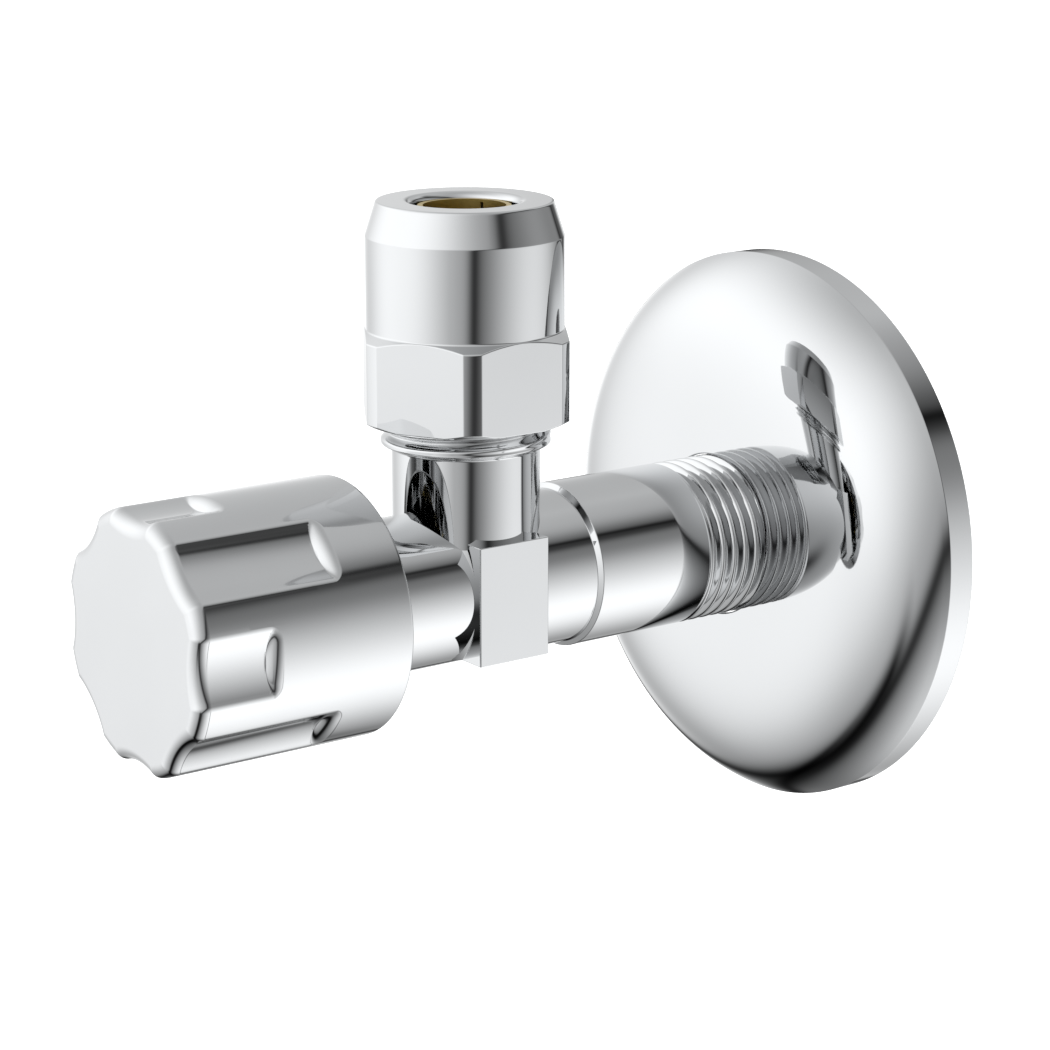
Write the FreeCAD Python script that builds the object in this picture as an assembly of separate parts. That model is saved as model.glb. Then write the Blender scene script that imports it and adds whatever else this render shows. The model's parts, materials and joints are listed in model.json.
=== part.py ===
"""Angle valve with a fluted knob, a compression outlet for a supply tube and a sliding wall rosette.

The origin is where the inlet axis meets the wall. +Y runs along the inlet into the wall, +Z runs up
along the outlet, and +X is the side with the flat pad. Lengths along the inlet are counted from the
outlet's axis, and a positive one lies towards the wall. Heights are counted from the inlet's axis.
"""
import FreeCAD, Part

import math
import os

# Clearances
play = 0.05
slide_play = 0.15
stem_play = 0.08
overcut = 1.0

# Wall and inlet
axis_to_wall = 51.6
inlet_thread_r = 10.4775
thread_depth = 1.16
tail_past_wall = 9.0
tail_chamfer = 0.9
thread_start = 30.5
run_out_width = 1.8
shoulder_start = 13.1
shoulder_length = 0.45
inlet_bore_r = 6.5

# Body
inlet_r = 9.8
neck_wall = 1.6
neck_length = 21.4
drum_r = 10.75
drum_arc_r = 13.2
drum_foot_depth = 7.9
drum_top_z = 7.05
chamber_step = 0.5
chamber_end = 6.2
seat_lip_height = 1.0
seat_lip_wall = 0.8
port_r = 4.2
port_length = 3.0
pad_x = 10.28
pad_half_width = 5.12
pad_depth = 7.9
pad_top_z = 7.02

# Outlet
outlet_r = 9.15
outlet_thread_r = 10.4775
outlet_thread_low_z = 17.5
outlet_thread_step = 0.7
outlet_top_z = 36.0
outlet_edge = 0.5
riser_r = 4.2
tube_r = 5.0
socket_depth = 12.0
socket_play = 0.25
seal_width = 3.05
seal_seat_depth = 4.6
seal_inset = 1.0
seal_rise = 0.35

# Thrust washer and clamp ring
washer_overhang = 0.2
washer_thickness = 1.0
ring_foot_height = 1.45
ring_cone_start = 1.2
ring_cone_play = 0.12
ring_neck_wall = 0.65
ring_below_top = 0.65
ring_slit = 0.35
ring_slit_angle = 120.0

# Union nut
nut_length = 26.85
nut_hex_height = 11.25
nut_corner_slope = 30.0
nut_foot_step = 1.0
nut_crown_height = 4.2
nut_crown_step = 1.33
nut_barrel_wall = 1.6
nut_corner_step = 1.42
nut_flat_wall = 1.72
nut_bore_edge = 0.4
nut_chamber_gap = 0.5
nut_cone_height = 4.5
nut_mouth_gap = 0.85
nut_mouth_length = 4.25
nut_lip = 0.88

# Headwork
headwork_thread_r = 7.9
headwork_thread_length = 11.0
headwork_depth = 17.0
headwork_flats = 17.0
headwork_flange = 5.0
headwork_boss_r = 6.2
headwork_boss = 2.0
gasket_thickness = 1.0
gasket_inset = 0.25
cone_guide_depth = 8.8
stem_bore_length = 7.4

# Spindle
stem_r = 3.6
stem_groove_depth = 1.0
ring_section_r = 0.45
stem_groove_width = 1.2
first_groove_inset = 2.0
groove_spacing = 2.6
collar_length = 1.4
glide_washer_thickness = 0.5
spindle_thread_r = 2.5
retaining_r = 5.2
retaining_thickness = 0.8
retaining_gap_angle = 50.0
tooth_depth = 0.4
spline_teeth = 20
spline_gap = 1.6

# Valve cone
valve_travel = 3.75
seat_gap = 0.05
seat_washer_thickness = 2.2
seat_washer_overlap = 1.1
cone_cup_wall = 0.85
cone_cup_rim = 1.3
cone_cup_floor = 2.1
cone_flats = 8.6
cone_corner_room = 0.035
cone_engagement = 2.3
cone_groove_inset = 3.6
cone_groove_depth = 1.0
cone_ring_section_r = 0.5
cone_web = 1.45
screw_head_r = 2.6
screw_head = 1.4
screw_slot = 0.6
screw_r = 1.5
screw_length = 4.6

# Knob
knob_r = 15.95
knob_length = 28.9
knob_overlap = 2.8
knob_front_wall = 2.5
knob_shell = 1.6
knob_edge_r = 1.8
flute_count = 8
flute_r = 13.5
flute_depth = 1.3
flute_blend_r = 1.9
long_flute = 18.9
short_flute = 9.35
hub_wall = 1.85
rib_count = 4
rib_thickness = 1.4
rib_height = 8.85
rib_sink = 0.8
insert_wall = 1.9
insert_length = 10.0
insert_floor = 1.0
spindle_end_gap = 0.3

# Rosette
rosette_r = 36.33
rosette_gap = 0.57
rosette_depth = 12.1
rosette_rim_slope = 61.0
rosette_slope_power = 3.0
rosette_sheet = 0.8

# Places along the inlet
tail_end = axis_to_wall + tail_past_wall
run_out_end = thread_start + run_out_width
seat_lip = chamber_end - seat_lip_height
neck_end = -neck_length
gasket_end = neck_end - gasket_thickness
flange_end = gasket_end - headwork_flange
boss_end = flange_end - headwork_boss
headwork_thread_end = neck_end + headwork_thread_length
skirt_end = neck_end + headwork_depth
guide_hex_start = skirt_end - cone_guide_depth
guide_end = boss_end + stem_bore_length
first_groove = guide_end - first_groove_inset
second_groove = first_groove - groove_spacing
washer_face = seat_lip - seat_gap
washer_back = washer_face - seat_washer_thickness
cup_floor = washer_back - play
cup_back = cup_floor - cone_cup_floor
cone_round_end = guide_hex_start + valve_travel + slide_play
cone_end = guide_hex_start - cone_engagement
cone_groove_at = skirt_end - cone_groove_inset
screw_hole_end = washer_face - screw_length - play
cone_thread_end = screw_hole_end - cone_web
spindle_thread_end = cone_thread_end - valve_travel - 2 * slide_play
knob_back = neck_end + knob_overlap
knob_front = knob_back - knob_length
knob_floor = knob_front + knob_front_wall
short_flute_end = knob_front + short_flute
long_flute_end = knob_front + long_flute
insert_front = knob_floor + play
spline_start = boss_end - spline_gap
spindle_front = insert_front + insert_floor + spindle_end_gap
rosette_face = axis_to_wall - rosette_depth

# Radii about the inlet
thread_root_r = inlet_thread_r - thread_depth
chamber_r = headwork_thread_r - chamber_step
neck_r = headwork_thread_r + play + neck_wall
gasket_r = neck_r - gasket_inset
skirt_r = chamber_r - slide_play
cone_stem_r = cone_flats / math.sqrt(3) + cone_corner_room
cone_guide_r = cone_stem_r + slide_play
cone_guide_flats = cone_flats + 2 * slide_play
collar_r = cone_guide_flats / 2 - slide_play
stem_bore_r = stem_r + stem_play
stem_groove_r = stem_r - stem_groove_depth
cone_groove_r = cone_stem_r - cone_groove_depth
spline_root_r = stem_r - tooth_depth
seat_washer_r = port_r + seat_washer_overlap
cone_cup_r = seat_washer_r + play + cone_cup_wall
flute_floor_r = knob_r - flute_depth
knob_hollow_r = flute_floor_r - knob_shell
insert_r = stem_r + insert_wall
hub_bore_r = insert_r + play
hub_r = hub_bore_r + hub_wall
rosette_hole_r = inlet_thread_r + rosette_gap

# Heights and radii about the outlet
socket_r = tube_r + socket_play
tube_stop_z = outlet_top_z - socket_depth
seal_seat_z = outlet_top_z - seal_seat_depth
seal_seat_r = socket_r + seal_width
seal_top_z = outlet_top_z + seal_rise
washer_r = seal_seat_r + washer_overhang
washer_top_z = seal_top_z + washer_thickness
ring_bore_r = tube_r + play
ring_foot_r = washer_r - play
ring_neck_r = ring_bore_r + ring_neck_wall
nut_thread_r = outlet_thread_r + play
nut_barrel_r = nut_thread_r + nut_barrel_wall
nut_corner_r = nut_barrel_r + nut_corner_step
nut_across_flats = 2 * (nut_thread_r + nut_flat_wall)
nut_crown_r = nut_barrel_r - nut_crown_step
nut_chamber_r = washer_r + nut_chamber_gap
nut_mouth_r = ring_neck_r + nut_mouth_gap
nut_cone_low_z = washer_top_z + ring_foot_height + play
nut_cone_high_z = nut_cone_low_z + nut_cone_height
nut_top_z = nut_cone_high_z + nut_mouth_length
nut_low_z = nut_top_z - nut_length
nut_hex_top_z = nut_low_z + nut_hex_height
nut_corner_tan = math.tan(math.radians(nut_corner_slope))
nut_corner_top_z = nut_hex_top_z - nut_corner_step * nut_corner_tan
nut_corner_low_z = nut_low_z + nut_foot_step * nut_corner_tan
nut_crown_z = nut_top_z - nut_crown_height
ring_top_z = nut_top_z - ring_below_top


def as_vectors(points):
    """(radius, height) pairs as points of the XZ plane."""
    return [FreeCAD.Vector(r, 0, h) for r, h in points]


def face_of(points):
    """A flat face in the XZ plane from (radius, height) corners."""
    return Part.Face(Part.makePolygon(as_vectors(points + points[:1])))


def curve_through(points):
    """A smooth edge in the XZ plane through (radius, height) points."""
    curve = Part.BSplineCurve()
    curve.interpolate(as_vectors(points))
    return curve.toShape()


def to_inlet(shape):
    """Lay a shape made about Z along the inlet, with its zero height on the outlet's axis."""
    shape.rotate(FreeCAD.Vector(0, 0, 0), FreeCAD.Vector(1, 0, 0), -90)
    shape.translate(FreeCAD.Vector(0, -axis_to_wall, 0))
    return shape


def to_outlet(shape):
    """Move a shape made about Z onto the outlet's axis."""
    shape.translate(FreeCAD.Vector(0, -axis_to_wall, 0))
    return shape


def turned(points):
    """A solid of revolution about Z from (radius, height) corners."""
    return face_of(points).revolve(FreeCAD.Vector(0, 0, 0), FreeCAD.Vector(0, 0, 1), 360)


def tube(outer, inner, low, high):
    return turned([(inner, low), (outer, low), (outer, high), (inner, high)])


def rod(radius, low, high):
    return Part.makeCylinder(radius, high - low, FreeCAD.Vector(0, 0, low))


def hex_prism(flats, low, high):
    """A six-sided bar about Z with two flats facing +X and -X."""
    corner = flats / math.sqrt(3)
    angles = [math.radians(30 + 60 * i) for i in range(7)]
    points = [FreeCAD.Vector(corner * math.cos(a), corner * math.sin(a), low) for a in angles]
    return Part.Face(Part.makePolygon(points)).extrude(FreeCAD.Vector(0, 0, high - low))


def ring(radius, section, height):
    """A rubber ring of round section about Z."""
    return Part.makeTorus(radius, section, FreeCAD.Vector(0, 0, height))


def toothed_bar(tip, root, teeth, low, high):
    """A serrated bar about Z: straight teeth between a root and a tip radius."""
    points = []
    for i in range(2 * teeth + 1):
        a = math.pi * i / teeth
        r = tip if i % 2 == 0 else root
        points.append(FreeCAD.Vector(r * math.cos(a), r * math.sin(a), low))
    return Part.Face(Part.makePolygon(points)).extrude(FreeCAD.Vector(0, 0, high - low))


def drum_radius(height):
    """Radius of the body's round middle at a height: an arc, widest at the inlet's axis."""
    return drum_r - drum_arc_r + math.sqrt(drum_arc_r ** 2 - height ** 2)


def drum():
    """The round middle of the body about Z."""
    low = (drum_radius(drum_foot_depth), -drum_foot_depth)
    high = (drum_radius(drum_top_z), drum_top_z)
    side = Part.Arc(*as_vectors([low, (drum_r, 0), high])).toShape()
    rest = Part.makePolygon(as_vectors([high, (0, drum_top_z), (0, -drum_foot_depth), low]))
    profile = Part.Face(Part.Wire([side] + rest.Edges))
    return profile.revolve(FreeCAD.Vector(0, 0, 0), FreeCAD.Vector(0, 0, 1), 360)


def valve_body():
    """One brass forging: inlet tail, chamber with the seat, neck for the headwork and outlet."""
    along = turned([
        (0, neck_end), (neck_r, neck_end), (neck_r, 0), (inlet_r, 0), (inlet_r, shoulder_start),
        (inlet_thread_r, shoulder_start + shoulder_length), (inlet_thread_r, thread_start),
        (thread_root_r, thread_start + run_out_width / 2), (inlet_thread_r, run_out_end),
        (inlet_thread_r, tail_end - tail_chamfer), (inlet_thread_r - tail_chamfer, tail_end),
        (0, tail_end)])
    upright = turned([
        (0, 0), (outlet_r, 0), (outlet_r, outlet_thread_low_z - outlet_thread_step),
        (outlet_thread_r, outlet_thread_low_z),
        (outlet_thread_r, outlet_top_z - outlet_edge), (outlet_thread_r - outlet_edge, outlet_top_z),
        (0, outlet_top_z)])
    pad_height = pad_top_z + pad_depth
    pad = Part.makeBox(pad_x, 2 * pad_half_width, pad_height,
                       FreeCAD.Vector(0, -axis_to_wall - pad_half_width, -pad_depth))
    pad_room = Part.makeBox(drum_r, 2 * pad_half_width, pad_height,
                            FreeCAD.Vector(pad_x, -axis_to_wall - pad_half_width, -pad_depth))
    body = to_inlet(along).fuse([to_outlet(upright), to_outlet(drum()), pad]).cut(pad_room)

    lip_r = port_r + seat_lip_wall
    funnel_start = chamber_end + port_length
    waterway = turned([
        (0, neck_end), (headwork_thread_r + play, neck_end),
        (headwork_thread_r + play, headwork_thread_end), (chamber_r, headwork_thread_end),
        (chamber_r, chamber_end), (lip_r, chamber_end), (lip_r, seat_lip), (port_r, seat_lip),
        (port_r, funnel_start), (inlet_bore_r, funnel_start + inlet_bore_r - port_r),
        (inlet_bore_r, tail_end), (0, tail_end)])
    riser = turned([
        (0, 0), (riser_r, 0), (riser_r, tube_stop_z), (socket_r, tube_stop_z),
        (socket_r, seal_seat_z), (seal_seat_r, outlet_top_z), (0, outlet_top_z)])
    return body.cut([to_inlet(waterway), to_outlet(riser)])


def headwork_body():
    """The screwed-in housing that guides the valve cone and carries the spindle."""
    shell = turned([
        (0, boss_end), (headwork_boss_r, boss_end), (headwork_boss_r, flange_end),
        (headwork_thread_r, flange_end), (headwork_thread_r, headwork_thread_end - play),
        (skirt_r, headwork_thread_end - play), (skirt_r, skirt_end), (0, skirt_end)])
    shell = shell.fuse(hex_prism(headwork_flats, flange_end, gasket_end))
    shell = shell.cut([
        rod(stem_bore_r, boss_end - overcut, guide_end + overcut),
        hex_prism(cone_guide_flats, guide_end, guide_hex_start),
        rod(cone_guide_r, guide_hex_start, skirt_end + overcut)])
    return to_inlet(shell)


def headwork_gasket():
    return to_inlet(tube(gasket_r, headwork_thread_r + play, gasket_end, neck_end))


def spindle():
    """The turned stem: teeth for the knob, two ring grooves, a collar and the cone's thread."""
    collar_low = guide_end + glide_washer_thickness
    half = stem_groove_width / 2
    stem = turned([
        (0, spline_start), (stem_r, spline_start), (stem_r, boss_end - play - retaining_thickness),
        (stem_groove_r, boss_end - play - retaining_thickness), (stem_groove_r, boss_end - play),
        (stem_r, boss_end - play), (stem_r, second_groove - half), (stem_groove_r, second_groove - half),
        (stem_groove_r, second_groove + half), (stem_r, second_groove + half),
        (stem_r, first_groove - half), (stem_groove_r, first_groove - half),
        (stem_groove_r, first_groove + half), (stem_r, first_groove + half),
        (stem_r, collar_low), (collar_r, collar_low), (collar_r, collar_low + collar_length),
        (spindle_thread_r, collar_low + collar_length), (spindle_thread_r, spindle_thread_end),
        (0, spindle_thread_end)])
    teeth = toothed_bar(stem_r, spline_root_r, spline_teeth, spindle_front, spline_start)
    return to_inlet(stem.fuse(teeth))


def spindle_o_ring(height):
    return to_inlet(ring(stem_groove_r + play + ring_section_r, ring_section_r, height))


def glide_washer():
    return to_inlet(tube(collar_r, stem_r + play, guide_end + play, guide_end + glide_washer_thickness))


def retaining_ring():
    """An open spring ring in the spindle's groove, just outside the headwork."""
    high = boss_end - 2 * play
    low = high - retaining_thickness + 2 * play
    clip = tube(retaining_r, stem_groove_r + play, low, high)
    gap = Part.makeCylinder(2 * retaining_r, 2 * retaining_thickness,
                            FreeCAD.Vector(0, 0, low - retaining_thickness / 2),
                            FreeCAD.Vector(0, 0, 1), retaining_gap_angle)
    return to_inlet(clip.cut(gap))


def valve_cone():
    """The brass carrier that slides in the headwork and presses the seat washer on the seat."""
    groove_half = cone_ring_section_r + slide_play
    carrier = turned([
        (0, cone_round_end), (cone_stem_r, cone_round_end), (cone_stem_r, cone_groove_at - groove_half),
        (cone_groove_r, cone_groove_at - groove_half), (cone_groove_r, cone_groove_at + groove_half),
        (cone_stem_r, cone_groove_at + groove_half), (cone_stem_r, cup_back), (cone_cup_r, cup_back),
        (cone_cup_r, cup_floor + cone_cup_rim), (seat_washer_r + play, cup_floor + cone_cup_rim),
        (seat_washer_r + play, cup_floor), (0, cup_floor)])
    carrier = carrier.fuse(hex_prism(cone_flats, cone_end, cone_round_end))
    carrier = carrier.cut([
        rod(spindle_thread_r + play, cone_end - overcut, cone_thread_end),
        rod(screw_r + play, screw_hole_end, cup_floor + overcut)])
    return to_inlet(carrier)


def cone_o_ring():
    return to_inlet(ring(cone_groove_r + play + cone_ring_section_r, cone_ring_section_r, cone_groove_at))


def seat_washer():
    return to_inlet(tube(seat_washer_r, screw_r + play, washer_back, washer_face))


def seat_screw():
    """Cheese-head screw that holds the seat washer, with a slot across its head."""
    head_top = washer_face + screw_head
    screw = rod(screw_head_r, washer_face, head_top)
    screw = screw.fuse(rod(screw_r, washer_face - screw_length, washer_face))
    corner = FreeCAD.Vector(-2 * screw_head_r, -screw_slot / 2, head_top - screw_slot)
    slot = Part.makeBox(4 * screw_head_r, screw_slot, screw_slot, corner)
    return to_inlet(screw.cut(slot))


def outlet_seal():
    """Rubber ring with a conical back that seals round the supply tube."""
    low = seal_seat_z + seal_inset
    low_r = socket_r + seal_width * seal_inset / seal_seat_depth - play
    top_r = seal_seat_r - play
    return to_outlet(turned([
        (socket_r, low), (low_r, low), (top_r, outlet_top_z), (top_r, seal_top_z),
        (socket_r, seal_top_z)]))


def thrust_washer():
    return to_outlet(tube(washer_r, socket_r, seal_top_z, washer_top_z))


def nut_cone_r(height):
    """Radius of the cone inside the nut at a height."""
    share = (height - nut_cone_low_z) / (nut_cone_high_z - nut_cone_low_z)
    return nut_chamber_r + share * (nut_mouth_r - nut_chamber_r)


def clamp_ring():
    """Slit brass ring: a foot on the washer, a cone that the nut squeezes and a neck in its mouth."""
    cone_low = nut_cone_low_z + ring_cone_start
    body = turned([
        (ring_bore_r, washer_top_z), (ring_foot_r, washer_top_z),
        (ring_foot_r, washer_top_z + ring_foot_height),
        (nut_cone_r(cone_low) - ring_cone_play, cone_low),
        (nut_mouth_r - ring_cone_play, nut_cone_high_z),
        (ring_neck_r, nut_cone_high_z + nut_mouth_gap), (ring_neck_r, ring_top_z),
        (ring_bore_r, ring_top_z)])
    slit = Part.makeBox(2 * ring_foot_r, ring_slit, nut_top_z - washer_top_z,
                        FreeCAD.Vector(0, -ring_slit / 2, washer_top_z - overcut))
    slit.rotate(FreeCAD.Vector(0, 0, 0), FreeCAD.Vector(0, 0, 1), ring_slit_angle)
    return to_outlet(body.cut(slit))


def union_nut():
    """Chromed union nut: a short hexagon with turned corners below a plain barrel."""
    barrel = turned([
        (0, nut_low_z), (nut_corner_r - nut_foot_step, nut_low_z),
        (nut_corner_r, nut_corner_low_z), (nut_corner_r, nut_corner_top_z),
        (nut_barrel_r, nut_hex_top_z), (nut_barrel_r, nut_crown_z), (nut_crown_r, nut_top_z),
        (0, nut_top_z)])
    stock = rod(2 * nut_corner_r, nut_low_z - overcut, nut_hex_top_z)
    flats = stock.cut(hex_prism(nut_across_flats, nut_low_z - 2 * overcut, nut_hex_top_z + overcut))
    thread_top = outlet_top_z + nut_chamber_gap
    bore = turned([
        (0, nut_low_z), (nut_thread_r + nut_bore_edge, nut_low_z),
        (nut_thread_r, nut_low_z + nut_bore_edge), (nut_thread_r, thread_top),
        (nut_chamber_r, thread_top), (nut_chamber_r, nut_cone_low_z), (nut_mouth_r, nut_cone_high_z),
        (nut_mouth_r, nut_top_z - nut_lip), (nut_mouth_r + nut_lip, nut_top_z), (0, nut_top_z)])
    return to_outlet(barrel.cut([flats, bore]))


def fluted_outline(angles, height):
    """The knob's cross-section at a height: a circle with a rounded flute at each angle."""
    middle = knob_r - flute_blend_r
    reach = flute_floor_r + flute_r
    span = flute_r + flute_blend_r
    half = math.acos((middle ** 2 + reach ** 2 - span ** 2) / (2 * middle * reach))
    lean = math.acos((reach ** 2 + span ** 2 - middle ** 2) / (2 * reach * span))

    def point(r, a):
        return FreeCAD.Vector(r * math.cos(a), r * math.sin(a), height)

    def blend(a, side):
        """Both ends and the middle of the rounding, from the knob's circle to the flute's."""
        heart = point(middle, a + side * half)
        turn = math.pi + a + side * -lean
        to_flute = FreeCAD.Vector(-math.cos(turn), -math.sin(turn), 0)
        to_rim = point(1, a + side * half) - FreeCAD.Vector(0, 0, height)
        between = (to_flute + to_rim).normalize()
        return [heart + v * flute_blend_r for v in (to_rim, between, to_flute)]

    edges = []
    for a, following in zip(angles, angles[1:] + [angles[0] + 2 * math.pi]):
        before = blend(a, -1)
        after = blend(a, 1)
        edges.append(Part.Arc(*before).toShape())
        edges.append(Part.Arc(before[2], point(flute_floor_r, a), after[2]).toShape())
        edges.append(Part.Arc(*after[::-1]).toShape())
        rim_middle = point(knob_r, (a + following) / 2)
        edges.append(Part.Arc(after[0], rim_middle, blend(following, -1)[0]).toShape())
    return Part.Face(Part.Wire(edges))


def rounded_front(stage, low):
    """Round the edges of a stage's front face, at height `low`."""
    edges = [e for e in stage.Edges if e.BoundBox.ZMax < low + knob_edge_r / 2]
    return stage.makeFillet(knob_edge_r, edges)


def knob():
    """Fluted cap, hollow behind, with a ribbed hub for the toothed insert.

    It is three stages with rounded fronts: all flutes, the long flutes alone and the plain barrel. Each
    stage runs on under the rounding of the next, whose front closes the flutes that end there.
    """
    step = 2 * math.pi / flute_count
    every = [i * step for i in range(flute_count)]
    run_on = knob_edge_r + play
    front = fluted_outline(every, knob_front)
    front = front.extrude(FreeCAD.Vector(0, 0, short_flute + run_on))
    middle = fluted_outline(every[1::2], short_flute_end)
    middle = middle.extrude(FreeCAD.Vector(0, 0, long_flute - short_flute + run_on))
    barrel = rod(knob_r, long_flute_end, knob_back)
    body = rounded_front(front, knob_front).fuse([
        rounded_front(middle, short_flute_end), rounded_front(barrel, long_flute_end)]).removeSplitter()
    body = body.cut(rod(knob_hollow_r, knob_floor, knob_back + overcut))
    body = body.fuse(rod(hub_r, knob_floor, knob_floor + insert_length + slide_play))
    for i in range(rib_count):
        rib = Part.makeBox(knob_hollow_r - hub_r + 2 * rib_sink, rib_thickness, rib_height,
                           FreeCAD.Vector(hub_r - rib_sink, -rib_thickness / 2, knob_floor))
        rib.rotate(FreeCAD.Vector(0, 0, 0), FreeCAD.Vector(0, 0, 1), 360 * i / rib_count)
        body = body.fuse(rib)
    return to_inlet(body.cut(rod(hub_bore_r, knob_floor, knob_floor + 2 * insert_length)))


def knob_insert():
    """Toothed bush between the knob's hub and the spindle."""
    back = insert_front + insert_length
    bush = rod(insert_r, insert_front, back)
    bore = toothed_bar(stem_r + play, spline_root_r + play, spline_teeth,
                       insert_front + insert_floor, back + overcut)
    return to_inlet(bush.cut(bore))


def rosette_line(offset, steps=12):
    """Points of the dome's profile, moved back by the offset along its normal.

    The slope grows from nothing at the hole to the rim's slope, as a power of the way across.
    """
    points = []
    height = rosette_face
    fine = 40
    span = rosette_r - rosette_hole_r
    for i in range(steps * fine + 1):
        share = i / (steps * fine)
        slope = math.radians(rosette_rim_slope) * share ** rosette_slope_power
        if i % fine == 0:
            r = rosette_hole_r + share * span
            points.append((r - offset * math.sin(slope), height + offset * math.cos(slope)))
        height += math.tan(slope) * span / (steps * fine)
    return points


def wall_rosette():
    """Pressed sheet cover: a dome that is nearly flat at its hole, and a straight rim to the wall."""
    outer = rosette_line(0)
    inner = rosette_line(rosette_sheet)
    inner[0] = (rosette_hole_r, rosette_face + rosette_sheet)
    inner_r = rosette_r - rosette_sheet
    inner = [p for p in inner if p[0] < inner_r]
    last = inner[-1]
    inner.append((inner_r, last[1] + (inner_r - last[0]) * math.tan(math.radians(rosette_rim_slope))))
    rim = [outer[-1], (rosette_r, axis_to_wall), (inner_r, axis_to_wall), inner[-1]]
    corners = as_vectors(rim)
    edges = [curve_through(outer), curve_through(inner)]
    for a, b in zip(corners, corners[1:]):
        edges.append(Part.makeLine(a, b))
    edges.append(Part.makeLine(*as_vectors([inner[0], outer[0]])))
    profile = Part.Face(Part.Wire(Part.__sortEdges__(edges)))
    return to_inlet(profile.revolve(FreeCAD.Vector(0, 0, 0), FreeCAD.Vector(0, 0, 1), 360))


PIECES = {
    "valve_body": valve_body(),
    "headwork_body": headwork_body(),
    "headwork_gasket": headwork_gasket(),
    "spindle": spindle(),
    "spindle_o_ring_inner": spindle_o_ring(first_groove),
    "spindle_o_ring_outer": spindle_o_ring(second_groove),
    "glide_washer": glide_washer(),
    "retaining_ring": retaining_ring(),
    "valve_cone": valve_cone(),
    "cone_o_ring": cone_o_ring(),
    "seat_washer": seat_washer(),
    "seat_screw": seat_screw(),
    "outlet_seal": outlet_seal(),
    "thrust_washer": thrust_washer(),
    "clamp_ring": clamp_ring(),
    "union_nut": union_nut(),
    "knob": knob(),
    "knob_insert": knob_insert(),
    "wall_rosette": wall_rosette(),
}

os.makedirs("parts", exist_ok=True)
for name, shape in PIECES.items():
    solid = shape.Solids[0]
    print(f"{name}: {len(shape.Solids)} solid, {solid.Volume:.1f} mm3, valid {solid.isValid()}")
    solid.exportStep(f"parts/{name}.step")
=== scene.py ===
# %% [markdown]
# # An angle valve in chrome
# This lesson dresses a plumbing part: an angle valve with a fluted knob, a union nut and a wall rosette.
# Almost all of it is polished chrome, which has no colour of its own. What the eye sees is the room
# mirrored in the metal, so two things decide the picture: exact, smooth surfaces and a well-set studio.
# The solids of the part are already there as a fixed frame. We load it, measure it, replace the pieces
# whose finish needs finer surfaces, and give every other piece its material.

import json
import math

import bpy
import numpy as np
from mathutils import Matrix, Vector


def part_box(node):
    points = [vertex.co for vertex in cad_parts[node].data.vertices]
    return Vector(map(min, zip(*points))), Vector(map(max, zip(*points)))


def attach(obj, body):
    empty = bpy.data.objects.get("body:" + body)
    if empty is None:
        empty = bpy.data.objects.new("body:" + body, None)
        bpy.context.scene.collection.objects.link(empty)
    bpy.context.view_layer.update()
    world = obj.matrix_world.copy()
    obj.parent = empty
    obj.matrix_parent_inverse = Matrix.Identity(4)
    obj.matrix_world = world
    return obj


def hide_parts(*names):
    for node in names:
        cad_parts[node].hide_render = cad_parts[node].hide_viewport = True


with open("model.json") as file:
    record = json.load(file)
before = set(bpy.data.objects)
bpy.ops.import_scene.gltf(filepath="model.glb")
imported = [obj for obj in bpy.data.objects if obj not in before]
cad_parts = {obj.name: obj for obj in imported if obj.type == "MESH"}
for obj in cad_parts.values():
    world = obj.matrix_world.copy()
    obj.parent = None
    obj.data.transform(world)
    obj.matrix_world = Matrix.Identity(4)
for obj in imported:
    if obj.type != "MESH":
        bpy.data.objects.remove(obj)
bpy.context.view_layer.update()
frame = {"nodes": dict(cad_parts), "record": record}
nodes = frame["nodes"]
mm = 0.001

# %% [markdown]
# ## Sizes from the frame
# The frame knows where each piece ends, so sizes that a solid shows are read from its box. Only what a box
# can't tell, such as a rounding or the depth of a flute, is written here as a number in millimetres.
# The inlet runs along +Y and the outlet along +Z, so `axis_y` is the place of the outlet's axis.


# %% Read the sizes of the pieces
def box_mm(node):
    """Lowest and highest corner of a frame piece in millimetres."""
    low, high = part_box(node)
    return np.array(low) / mm, np.array(high) / mm


body_low, body_high = box_mm("valve_body")
nut_low, nut_high = box_mm("union_nut")
knob_low, knob_high = box_mm("knob")
rose_low, rose_high = box_mm("wall_rosette")
axis_y = (nut_low[1] + nut_high[1]) / 2
knob_r = knob_high[0]
rosette_r = rose_high[0]
nut_corner_r = nut_high[1] - axis_y
print("outlet axis at y", round(axis_y, 2))
print("knob radius", round(knob_r, 2), "rosette radius", round(rosette_r, 2))

# %% [markdown]
# ## Surfaces from arrays
# Every new piece is a grid of points: one direction runs along a profile, the other round an axis. A turned
# piece is then one array expression. Sharp corners never look right in chrome, because a real edge always
# has a small round that catches the light, so the profile helper rounds each corner with a short arc and
# keeps a support point beside it, which stops the shading from bleeding into the flat.


# %% Helpers for profiles
arc_share = 0.45
support_share = 0.04
tiny_length = 1e-12


def unit(vectors):
    """Each vector divided by its length."""
    return vectors / np.maximum(np.linalg.norm(vectors, axis=-1, keepdims=True), tiny_length)


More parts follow.
